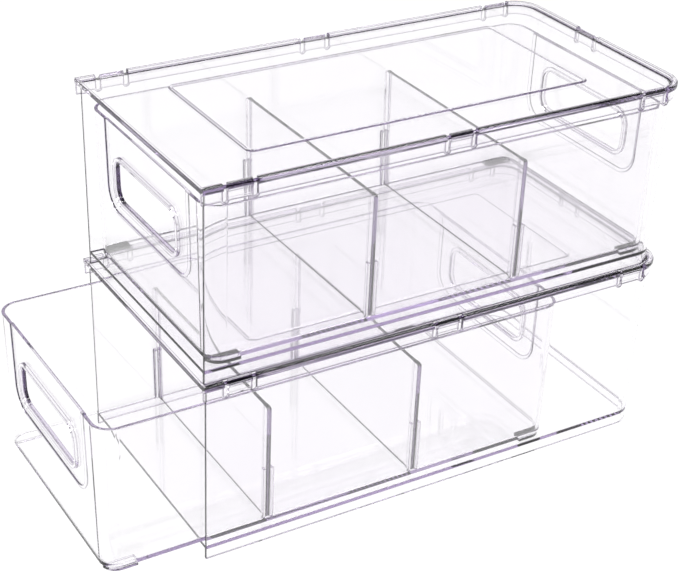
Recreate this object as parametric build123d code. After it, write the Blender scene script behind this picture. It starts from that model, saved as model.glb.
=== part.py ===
from build123d import *

import os
from math import radians, tan

# A pair of stacked clear fridge bins. Each is a casing with a clip-on lid, a pull-out drawer
# and two lift-out dividers.

# Driving dimensions, in millimetres. Heights are measured from the bottom of a casing's skirt,
# and lengths from the front edges of its side walls, where X grows towards the closed rear end.
wall = 2.0
floor_thickness = 2.0

casing_length = 320.0
casing_width = 160.9
casing_height = 118.6
casing_corner_radius = 14.0
casing_draft = 0.85
casing_floor_underside = 6.6
casing_top_rounding = 0.35
casing_front_rounding = 0.5

lid_plate_thickness = 2.2
lid_front_overhang = 2.2
lid_front_lip_width = 1.8
lid_front_lip_height = 0.8
lid_front_rounding = 0.6
lid_skirt_gap = 0.3
lid_skirt_thickness = 1.7
lid_skirt_depth = 8.5
lid_rim_height = 1.6
lid_bead_projection = 3.4
lid_bead_depth = 2.4
bead_top_rounding = 1.5
bead_underside_rounding = 1.3

panel_front = 41.8
panel_rear = 273.8
panel_half_width = 52.6
panel_corner_radius = 5.0
panel_rise = 1.0
panel_edge_rounding = 0.9

tab_length = 15.0
tab_slot_width = 3.0
tab_loop_wall = 1.0
tab_loop_drop = 10.4
tab_loop_arm = 1.5
tab_top_width = 0.8
tab_slope_width = 0.8
tab_slope_depth = 0.6
tab_grip = 0.15
side_tab_centres = (20.5, 159.5, 298.5)
rear_tab_centre = 12.7

drawer_front_at_top = 2.8
drawer_rear_at_top = 315.2
drawer_width_at_top = 157.7
drawer_top = 107.3
drawer_corner_radius_at_top = 12.5
drawer_draft = 1.04
drawer_base_rounding = 1.2
drawer_floor_rounding = 1.5
drawer_rim_rounding = 0.3
foot_height = 2.0
foot_length = 21.0
foot_width = 9.0
foot_inset = 0.8
foot_root = 0.3
lower_drawer_pull_out = 66.0

handle_centre_height = 74.0
handle_width = 82.0
handle_height = 27.0
handle_corner_radius = 8.0
collar_wall = 2.4
collar_proud = 1.1
collar_depth = 3.6
collar_rounding = 0.4
recess_half_width = 54.0
recess_bottom = 51.5
recess_corner_radius = 13.0
recess_depth = 0.7

divider_thickness = 2.1
divider_border_thickness = 2.8
divider_border_width = 5.5
divider_top = 91.5
divider_top_corner_radius = 1.6
divider_bottom_chamfer = 1.5
divider_side_gap = 0.5
divider_positions = {"front": 108.5, "rear": 211.0}
rib_gap = 0.3
rib_width = 1.6
rib_projection = 2.4
rib_top = 49.0
rib_root = 0.5
rib_rounding = 0.7

# Sizes that follow from the driving dimensions.
casing_floor_top = casing_floor_underside + floor_thickness
casing_growth = casing_height * tan(radians(casing_draft))
casing_top_half_width = casing_width / 2 + casing_growth
casing_rear_at_top = casing_length + casing_growth
unit_pitch = casing_height + lid_plate_thickness
drawer_base = casing_floor_top + foot_height
recess_backing_top = drawer_top - 2 * drawer_rim_rounding
drawer_floor_top = drawer_base + floor_thickness
drawer_lean = (drawer_top - drawer_floor_top) * tan(radians(drawer_draft))
drawer_inside_half_width = drawer_width_at_top / 2 - wall - drawer_lean
collar_top = handle_centre_height + handle_height / 2 + collar_wall
collar_front = drawer_front_at_top + (drawer_top - collar_top) * tan(radians(drawer_draft)) - collar_proud
assembly_front = collar_front - lower_drawer_pull_out
assembly_rear = casing_rear_at_top + lid_bead_projection

# Cutting tools run on past the part by the overrun, and blocks that are trimmed later start this far ahead.
overrun = 5.0
runout = 60.0


def slab(front, rear, half_width, radius, bottom, top, draft=0.0):
    """Upright block with rounded corners in plan that widens upwards by the draft angle."""
    plan = RectangleRounded(rear - front, 2 * half_width, radius)
    return extrude(Pos((front + rear) / 2, 0, bottom) * plan, top - bottom, taper=-draft)


def span(x0, x1, y0, y1, z0, z1):
    """Box between two opposite corners."""
    return Pos((x0 + x1) / 2, (y0 + y1) / 2, (z0 + z1) / 2) * Box(x1 - x0, y1 - y0, z1 - z0)


def length_between(front, rear):
    """Box that reaches well past everything in width and height, between two planes across the length."""
    return span(front, rear, -casing_width, casing_width, -casing_height, 2 * casing_height)


def behind(part, front):
    """The portion of a part that lies behind a plane across its length."""
    return part & length_between(front, 2 * casing_length)


def level_edges(part, height):
    """Edges of a part that lie flat at one height."""
    return part.edges().filter_by_position(Axis.Z, height - 0.01, height + 0.01)


def casing_block(inset, bottom, top):
    """Block with the casing's outer shape, moved inwards by the inset, running on past the open front."""
    growth = bottom * tan(radians(casing_draft))
    rear = casing_length - inset + growth
    half_width = casing_width / 2 - inset + growth
    radius = casing_corner_radius - inset + growth
    return slab(-runout, rear, half_width, radius, bottom, top, casing_draft)


def make_casing():
    """Open-fronted shell: two side walls, a rear wall and a floor raised above a skirt."""
    shell = casing_block(0, 0, casing_height)
    shell -= casing_block(wall, casing_floor_top, casing_height + overrun)
    shell -= casing_block(wall, -overrun, casing_floor_underside)
    shell = behind(shell, 0)
    front = shell.edges().filter_by_position(Axis.X, -0.01, 0.01).filter_by(Axis.X, reverse=True)
    uprights = [edge for edge in front if edge.length > casing_height / 2]
    shell = fillet(uprights, casing_front_rounding)
    return fillet(level_edges(shell, casing_height), casing_top_rounding)


def lid_block(offset, bottom, top):
    """Straight-sided block outside the casing's top outline, with heights from the lid's top face."""
    half_width = casing_top_half_width + offset
    radius = casing_corner_radius + casing_growth + offset
    return slab(-runout, casing_rear_at_top + offset, half_width, radius, bottom, top)


def make_bead():
    """Rolled rim round both sides and the rear, standing a little above the lid's top face."""
    bead = lid_block(lid_bead_projection, -lid_bead_depth, lid_rim_height)
    bead = fillet(level_edges(bead, lid_rim_height), bead_top_rounding)
    bead = fillet(level_edges(bead, -lid_bead_depth), bead_underside_rounding)
    return bead - lid_block(0, -lid_bead_depth - overrun, lid_rim_height + overrun)


def make_slot_loop():
    """U-shaped loop that closes the bottom of a slot in the skirt, centred on Y = 0."""
    inner = tab_slot_width / 2
    outer = inner + tab_loop_wall
    middle = outer - tab_loop_drop
    top = middle + tab_loop_arm
    half = lid_skirt_thickness / 2
    loop = Rot(90, 0, 0) * Cylinder(outer, lid_skirt_thickness)
    loop -= Rot(90, 0, 0) * Cylinder(inner, lid_skirt_thickness + overrun)
    loop = Pos(0, 0, middle) * loop + span(-outer, outer, -half, half, middle, top)
    return loop - span(-inner, inner, -overrun, overrun, middle, top + overrun)


def make_tab():
    """Clip tab that runs along X with its outer face towards -Y, between its two slot loops."""
    outer = lid_skirt_gap + lid_skirt_thickness
    shoulder = outer + tab_slope_width
    catch = lid_skirt_gap - tab_grip
    grip_height = 4 * tab_grip
    outline = Polyline(
        (0, lid_rim_height),
        (tab_top_width, lid_rim_height),
        (shoulder, -tab_slope_depth),
        (shoulder, -lid_bead_depth),
        (outer, -lid_bead_depth - tab_slope_width),
        (outer, -lid_skirt_depth),
        (lid_skirt_gap, -lid_skirt_depth),
        (catch, -lid_skirt_depth + grip_height),
        (catch, -lid_skirt_depth + 2 * grip_height),
        (lid_skirt_gap, -lid_skirt_depth + 3 * grip_height),
        (lid_skirt_gap, -lid_plate_thickness),
        (-wall, -lid_plate_thickness),
        (-wall, 0),
        (0, 0),
        close=True,
    )
    section = Plane(origin=(tab_length / 2, 0, 0), x_dir=(0, -1, 0), z_dir=(-1, 0, 0))
    tab = extrude(section * make_face(outline), tab_length)
    for side in (-1, 1):
        middle = side * (tab_length + tab_slot_width) / 2
        tab += Pos(middle, -lid_skirt_gap - lid_skirt_thickness / 2, 0) * make_slot_loop()
    return tab


def tab_places():
    """Where each tab goes: a spot on the casing's top outline, with local -Y pointing out of the lid."""
    for x in side_tab_centres:
        yield Pos(x, -casing_top_half_width, 0)
        yield Pos(x, casing_top_half_width, 0) * Rot(0, 0, 180)
    yield Pos(casing_rear_at_top, rear_tab_centre, 0) * Rot(0, 0, 90)


def make_panel(inset, base):
    """Low panel with rounded edges, which stands on the lid or hollows it from below."""
    panel = slab(
        panel_front + inset,
        panel_rear - inset,
        panel_half_width - inset,
        panel_corner_radius - inset,
        base,
        base + panel_rise,
    )
    return fillet(level_edges(panel, base + panel_rise), panel_edge_rounding)


def make_lid():
    """Flat plate with a raised panel, a low front lip, a rolled rim and a skirt with clip tabs."""
    lid = lid_block(lid_skirt_gap, -lid_plate_thickness, 0)
    skirt = lid_block(lid_skirt_gap + lid_skirt_thickness, -lid_skirt_depth, 0)
    lid += skirt - lid_block(lid_skirt_gap, -lid_skirt_depth - overrun, overrun)
    lid += make_bead()
    half_gap = tab_length / 2 + tab_slot_width
    outside = -lid_bead_projection - overrun
    notch = span(-half_gap, half_gap, outside, 0, outside - lid_skirt_depth, overrun)
    notch += span(-half_gap, half_gap, outside, wall, 0, overrun)
    tab = make_tab()
    for place in tab_places():
        lid -= place * notch
        lid += place * tab
    lid = behind(lid, -lid_front_overhang)
    half_width = casing_top_half_width + lid_skirt_gap
    front = -lid_front_overhang
    rear = front + lid_front_lip_width
    lid += span(front, rear, -half_width, half_width, -lid_plate_thickness, lid_front_lip_height)
    long_edges = lid.faces().sort_by(Axis.X)[0].edges().filter_by(Axis.Y)
    lid = fillet([edge for edge in long_edges if edge.length > lid_skirt_depth], lid_front_rounding)
    return lid + make_panel(0, 0) - make_panel(wall, -lid_plate_thickness)


def drawer_block(inset, bottom, top):
    """Block with the drawer's outer shape, moved inwards by the inset."""
    shrink = inset + (drawer_top - bottom) * tan(radians(drawer_draft))
    front = drawer_front_at_top + shrink
    rear = drawer_rear_at_top - shrink
    half_width = drawer_width_at_top / 2 - shrink
    return slab(front, rear, half_width, drawer_corner_radius_at_top - shrink, bottom, top, drawer_draft)


def drawer_skin(outer, inner, bottom):
    """Layer of the drawer's walls between two insets, from a height up to the top edge."""
    return drawer_block(outer, bottom, drawer_top) - drawer_block(inner, bottom, drawer_top)


def bar_along(width, height, radius, centre_height):
    """Bar with rounded corners that runs along the drawer, past both of its end walls."""
    across = Plane(origin=(-runout, 0, centre_height), x_dir=(0, 1, 0), z_dir=(1, 0, 0))
    return extrude(across * RectangleRounded(width, height, radius), casing_length + 2 * runout)


def make_tray():
    """Open tray with drafted walls and a flat floor."""
    cavity = drawer_block(wall, drawer_floor_top, drawer_top + overrun)
    cavity = fillet(level_edges(cavity, drawer_floor_top), drawer_floor_rounding)
    body = drawer_block(0, drawer_base, drawer_top)
    body = fillet(level_edges(body, drawer_base), drawer_base_rounding)
    tray = body - cavity
    return fillet(level_edges(tray, drawer_top), drawer_rim_rounding)


def add_end_recess(tray):
    """Set a wide U-shaped area of both end walls inwards, from below the handle up to the top edge."""
    height = 2 * (drawer_top - recess_bottom)
    step = bar_along(2 * recess_half_width, height, recess_corner_radius, drawer_top)
    width = 2 * (recess_half_width + wall)
    backing = bar_along(width, height + 2 * wall, recess_corner_radius + wall, drawer_top)
    backing -= span(-runout, 2 * casing_length, -width, width, recess_backing_top, 2 * drawer_top)
    tray += backing & drawer_skin(wall / 2, wall + recess_depth, drawer_floor_top)
    return tray - (step & drawer_skin(-overrun, recess_depth, drawer_floor_top))


def add_handles(tray):
    """Cut a hand slot in both end walls and ring it with a collar that stands proud outside."""
    ring = bar_along(
        handle_width + 2 * collar_wall,
        handle_height + 2 * collar_wall,
        handle_corner_radius + collar_wall,
        handle_centre_height,
    )
    slot = bar_along(handle_width, handle_height, handle_corner_radius, handle_centre_height)
    collars = (ring & drawer_skin(-collar_proud, collar_depth - collar_proud, drawer_base)) - slot
    tray -= slot
    for collar in collars.solids():
        ends = collar.faces().sort_by(Axis.X)
        tray += fillet(ends[0].edges() + ends[-1].edges(), collar_rounding)
    return tray


def add_ribs(tray):
    """Raise a rib in front of and behind each divider, on both side walls."""
    zone = drawer_block(wall - rib_root, drawer_floor_top - rib_root, rib_top)
    inner_face = drawer_inside_half_width - rib_projection
    offset = (divider_border_thickness + rib_width) / 2 + rib_gap
    for position in divider_positions.values():
        for x in (position - offset, position + offset):
            front = x - rib_width / 2
            rear = x + rib_width / 2
            bar = length_between(front, rear)
            bar -= span(front - overrun, rear + overrun, -inner_face, inner_face, 0, drawer_top)
            bar = bar & zone
            uprights = bar.edges().filter_by_position(Axis.Y, -inner_face - 0.01, inner_face + 0.01)
            tray += fillet(uprights.filter_by(Axis.Z), rib_rounding)
    return tray


def add_feet(tray):
    """Add a low pad under each corner."""
    pads = drawer_block(foot_inset, casing_floor_top, drawer_base + foot_root)
    front = drawer_front_at_top + foot_inset + foot_length
    rear = drawer_rear_at_top - foot_inset - foot_length
    side = drawer_width_at_top / 2 - foot_inset - foot_width
    pads -= length_between(front, rear)
    pads -= span(-runout, 2 * casing_length, -side, side, 0, drawer_top)
    return tray + pads


def make_drawer():
    """Open tray with recessed ends, a hand slot in each end, guide ribs for the dividers and four feet."""
    return add_feet(add_ribs(add_handles(add_end_recess(make_tray()))))


def upright_plate(outline, thickness):
    """Plate across the drawer with a given outline, standing centred on X = 0."""
    standing = Plane(origin=(-thickness / 2, 0, 0), x_dir=(0, 1, 0), z_dir=(1, 0, 0))
    return extrude(standing * outline, thickness)


def make_divider():
    """Upright plate with rounded top corners and a thicker border down each side."""
    base_half = drawer_inside_half_width - divider_side_gap
    top_half = base_half + (divider_top - drawer_floor_top) * tan(radians(drawer_draft))
    chamfer_top = drawer_floor_top + divider_bottom_chamfer
    outline = Polyline(
        (-base_half + divider_bottom_chamfer, drawer_floor_top),
        (base_half - divider_bottom_chamfer, drawer_floor_top),
        (base_half, chamfer_top),
        (top_half, divider_top),
        (-top_half, divider_top),
        (-base_half, chamfer_top),
        close=True,
    )
    face = make_face(outline)
    face = fillet(face.vertices().group_by(Axis.Y)[-1], divider_top_corner_radius)
    borders = upright_plate(face, divider_border_thickness)
    lean = (top_half - base_half) / (divider_top - drawer_floor_top)
    middle = Polyline(
        (-base_half + divider_border_width, 0),
        (base_half - divider_border_width, 0),
        (base_half - divider_border_width + lean * drawer_top, drawer_top),
        (-base_half + divider_border_width - lean * drawer_top, drawer_top),
        close=True,
    )
    borders -= upright_plate(make_face(middle), 2 * divider_border_thickness)
    return upright_plate(face, divider_thickness) + borders


def save(part, name, x, z):
    """Write one piece as its own file, moved to its place in the stack, with the stack centred in X."""
    export_step(Pos(x - (assembly_front + assembly_rear) / 2, 0, z) * part, f"parts/{name}.step")


os.makedirs("parts", exist_ok=True)
casing = make_casing()
lid = make_lid()
drawer = make_drawer()
divider = make_divider()
for level, base, pull_out in (("lower", 0.0, lower_drawer_pull_out), ("upper", unit_pitch, 0.0)):
    save(casing, f"{level}_casing", 0, base)
    save(lid, f"{level}_lid", 0, base + unit_pitch)
    save(drawer, f"{level}_drawer", -pull_out, base)
    for place, position in divider_positions.items():
        save(divider, f"{level}_divider_{place}", position - pull_out, base)
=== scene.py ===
"""Two stacked clear fridge bins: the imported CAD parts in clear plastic, on a pale floor in studio light."""

import math

import bpy
from mathutils import Matrix, Vector

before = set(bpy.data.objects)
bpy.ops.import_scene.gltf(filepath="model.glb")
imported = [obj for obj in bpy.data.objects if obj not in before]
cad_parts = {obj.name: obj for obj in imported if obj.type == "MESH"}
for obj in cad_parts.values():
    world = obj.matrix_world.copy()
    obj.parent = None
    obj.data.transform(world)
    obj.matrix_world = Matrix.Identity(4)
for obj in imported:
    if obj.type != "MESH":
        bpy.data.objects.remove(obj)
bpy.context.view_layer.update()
scene = bpy.context.scene

# Clear plastic: nearly colourless through a flat wall, purple through a long path from real absorption, and a
# painted dark purple shade at moulded edges that stands in for the dark outlines refraction gives there.
# The path density is per metre, and lengths are in metres.
refractive_index = 1.53
clearness = 0.997
path_colour = (0.60, 0.48, 0.72)
path_density = 12.0
clearest_tone = (1.0, 1.0, 1.0)
faintest_tone = (0.994, 0.990, 0.996)
# Painted shade at moulded edges: its dark purple colour, and the bevel reach, samples and bend range of its
# mask.
painted_edge_shade_colour = (0.03, 0.012, 0.06)
edge_reach = 0.0010
edge_samples = 4
edge_start = 0.995
edge_full = 0.84
tone_scale = 14
tone_detail = 3
tone_range = (0.35, 0.65)
wear_scale = 260
wear_detail = 2
wear_stretch = (1, 1, 0.25)
wear_range = (0.55, 0.8)
ripple_scale = 22
ripple_detail = 1
ripple_stretch = (0.35, 1, 1)
ripple_depth = 0.0006
seed_shift = (1.0, 0.37, 0.0)

# Each kind of moulding has its own pattern of ripple and wear: (seed, ripple strength, roughest gloss).
mouldings = {
    "casing": (1.0, 0.03, 0.025),
    "lid": (5.0, 0.02, 0.03),
    "drawer": (9.0, 0.03, 0.035),
    "divider": (13.0, 0.04, 0.03),
}

# Studio: colours of the sky against the height of the view direction, and of the floor against distance.
pale = (1.0, 1.0, 1.0)
backdrop = (0.70, 0.69, 0.72)
shade = (0.05, 0.02, 0.09)
softbox = (8.0, 8.0, 8.0)
overhead = (0.35, 0.33, 0.38)
sky_stops = [
    (0.00, backdrop),
    (0.20, backdrop),
    (0.30, pale),
    (0.62, pale),
    (0.67, shade),
    (0.80, shade),
    (0.83, softbox),
    (0.89, softbox),
    (0.91, overhead),
]
floor_brightness = 1.08
floor_half_size = 30.0
floor_gap = 0.0005
floor_fade_distance = 5.0
floor_stops = [(0.26, pale), (0.75, backdrop)]

# Camera, fitted to the straight edges of the stack in the photograph: angles in degrees, lens in millimetres.
camera_azimuth = 31.3285
camera_elevation = 29.1661
camera_roll = 1.9794
camera_distance = 1.0356
camera_aim = (-0.00016, -0.00593, 0.11237)
camera_lens = 88.056
camera_sensor = 36.0
camera_near = 0.05
camera_far = 100

see_through_bounces = 64
glossy_bounces = 40


def empty_tree(tree):
    """Empties a node tree, and gives functions that add a node to it and join two sockets."""
    tree.nodes.clear()

    def add(kind, **settings):
        node = tree.nodes.new(kind)
        for name, value in settings.items():
            setattr(node, name, value)
        return node

    return add, tree.links.new


def set_ramp(ramp, stops):
    """Sets a colour ramp to a list of (position, colour)."""
    elements = ramp.color_ramp.elements
    while len(elements) > 1:
        elements.remove(elements[-1])
    for index, (position, colour) in enumerate(stops):
        element = elements[0] if index == 0 else elements.new(position)
        element.position = position
        element.color = (*colour, 1)


def map_range(add, link, source, old, new):
    """Maps a value from one range to another, and gives the new value's socket."""
    node = add("ShaderNodeMapRange")
    for name, value in zip(("From Min", "From Max", "To Min", "To Max"), (*old, *new)):
        node.inputs[name].default_value = value
    link(source, node.inputs["Value"])
    return node.outputs["Result"]


def painted_edge_shade_mask(add, link):
    """Gives 0 on flat walls and 1 at moulded edges, from how far the surface bends within a short reach: the
    mask of the painted dark shade at edges.
    """
    rounded = add("ShaderNodeBevel", samples=edge_samples)
    rounded.inputs["Radius"].default_value = edge_reach
    surface = add("ShaderNodeNewGeometry")
    agreement = add("ShaderNodeVectorMath", operation="DOT_PRODUCT")
    link(rounded.outputs["Normal"], agreement.inputs[0])
    link(surface.outputs["True Normal"], agreement.inputs[1])
    return map_range(add, link, agreement.outputs["Value"], (edge_start, edge_full), (0, 1))


def clear_plastic(name, seed, ripple_strength, roughest):
    """Polished clear plastic with a faint moulding ripple, fine wear in its gloss and painted dark shade at
    its edges in place of refraction outlines.
    """
    material = bpy.data.materials.new(name)
    material.use_nodes = True
    add, link = empty_tree(material.node_tree)
    out = add("ShaderNodeOutputMaterial")
    shader = add("ShaderNodeBsdfPrincipled")
    link(shader.outputs["BSDF"], out.inputs["Surface"])
    shader.inputs["Transmission Weight"].default_value = clearness
    shader.inputs["IOR"].default_value = refractive_index
    place = add("ShaderNodeTexCoord")

    def noise(scale, detail, stretch=(1, 1, 1)):
        mapping = add("ShaderNodeMapping")
        mapping.inputs["Location"].default_value = [seed * shift for shift in seed_shift]
        mapping.inputs["Scale"].default_value = stretch
        link(place.outputs["Object"], mapping.inputs["Vector"])
        texture = add("ShaderNodeTexNoise")
        texture.inputs["Scale"].default_value = scale
        texture.inputs["Detail"].default_value = detail
        link(mapping.outputs["Vector"], texture.inputs["Vector"])
        return texture.outputs["Fac"]

    tone = add("ShaderNodeValToRGB")
    set_ramp(tone, list(zip(tone_range, (faintest_tone, clearest_tone))))
    link(noise(tone_scale, tone_detail), tone.inputs["Fac"])
    # Painted shade: the base colour is mixed towards dark purple at moulded edges.
    edge_shaded = add("ShaderNodeMix", data_type="RGBA")
    link(painted_edge_shade_mask(add, link), edge_shaded.inputs["Factor"])
    link(tone.outputs["Color"], edge_shaded.inputs["A"])
    edge_shaded.inputs["B"].default_value = (*painted_edge_shade_colour, 1)
    link(edge_shaded.outputs["Result"], shader.inputs["Base Color"])

    wear = noise(wear_scale, wear_detail, wear_stretch)
    link(map_range(add, link, wear, wear_range, (0, roughest)), shader.inputs["Roughness"])

    ripple = add("ShaderNodeBump")
    ripple.inputs["Strength"].default_value = ripple_strength
    ripple.inputs["Distance"].default_value = ripple_depth
    link(noise(ripple_scale, ripple_detail, ripple_stretch), ripple.inputs["Height"])
    link(ripple.outputs["Normal"], shader.inputs["Normal"])

    absorb = add("ShaderNodeVolumeAbsorption")
    absorb.inputs["Color"].default_value = (*path_colour, 1)
    absorb.inputs["Density"].default_value = path_density
    link(absorb.outputs["Volume"], out.inputs["Volume"])
    return material


def finish_parts():
    """Gives every CAD piece the plastic of its kind, which is the second word of its name."""
    plastics = {kind: clear_plastic(f"{kind}_clear", *look) for kind, look in mouldings.items()}
    for name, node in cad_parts.items():
        node.data.materials.clear()
        node.data.materials.append(plastics[name.split("_")[1]])


def make_world():
    """Soft studio light: from low to high a pale band, a dark band, a ring of softbox and a dim top."""
    world = bpy.data.worlds.new("studio")
    scene.world = world
    world.use_nodes = True
    add, link = empty_tree(world.node_tree)
    out = add("ShaderNodeOutputWorld")
    light = add("ShaderNodeBackground")
    link(light.outputs["Background"], out.inputs["Surface"])
    direction = add("ShaderNodeTexCoord")
    split = add("ShaderNodeSeparateXYZ")
    link(direction.outputs["Generated"], split.inputs["Vector"])
    ramp = add("ShaderNodeValToRGB")
    set_ramp(ramp, sky_stops)
    link(split.outputs["Z"], ramp.inputs["Fac"])
    link(ramp.outputs["Color"], light.inputs["Color"])


def make_floor():
    """Pale light table under the object, which dims into the backdrop well away from it."""
    size = floor_half_size
    corners = [(-size, -size, 0), (size, -size, 0), (size, size, 0), (-size, size, 0)]
    mesh = bpy.data.meshes.new("floor")
    mesh.from_pydata(corners, [], [(0, 1, 2, 3)])
    floor = bpy.data.objects.new("floor", mesh)
    floor.location.z = -floor_gap
    scene.collection.objects.link(floor)
    material = bpy.data.materials.new("floor")
    material.use_nodes = True
    add, link = empty_tree(material.node_tree)
    out = add("ShaderNodeOutputMaterial")
    glow = add("ShaderNodeEmission")
    glow.inputs["Strength"].default_value = floor_brightness
    link(glow.outputs["Emission"], out.inputs["Surface"])
    place = add("ShaderNodeTexCoord")
    distance = add("ShaderNodeVectorMath", operation="LENGTH")
    link(place.outputs["Object"], distance.inputs[0])
    ramp = add("ShaderNodeValToRGB")
    set_ramp(ramp, floor_stops)
    share = map_range(add, link, distance.outputs["Value"], (0, floor_fade_distance), (0, 1))
    link(share, ramp.inputs["Fac"])
    link(ramp.outputs["Color"], glow.inputs["Color"])
    mesh.materials.append(material)


def make_camera():
    """Camera that looks down on the stack from its open front and near side, aimed close to its middle."""
    azimuth = math.radians(camera_azimuth)
    elevation = math.radians(camera_elevation)
    roll = math.radians(camera_roll)
    level_reach = math.cos(elevation)
    away = Vector((math.sin(azimuth) * level_reach, math.cos(azimuth) * level_reach, -math.sin(elevation)))
    level = away.cross(Vector((0, 0, 1))).normalized()
    across = level * math.cos(roll) + level.cross(away) * math.sin(roll)
    turn = Matrix((across, across.cross(away), -away)).transposed().to_4x4()
    data = bpy.data.cameras.new("camera")
    data.sensor_width = camera_sensor
    data.lens = camera_lens
    data.clip_start = camera_near
    data.clip_end = camera_far
    camera = bpy.data.objects.new("camera", data)
    camera.matrix_world = Matrix.Translation(Vector(camera_aim) - away * camera_distance) @ turn
    scene.collection.objects.link(camera)
    scene.camera = camera


def let_light_through():
    """Plain view colours, and enough light bounces to see through every wall of the stack."""
    scene.view_settings.view_transform = "Standard"
    scene.cycles.max_bounces = see_through_bounces
    scene.cycles.transmission_bounces = see_through_bounces
    scene.cycles.transparent_max_bounces = see_through_bounces
    scene.cycles.glossy_bounces = glossy_bounces


finish_parts()
make_world()
make_floor()
make_camera()
let_light_through()
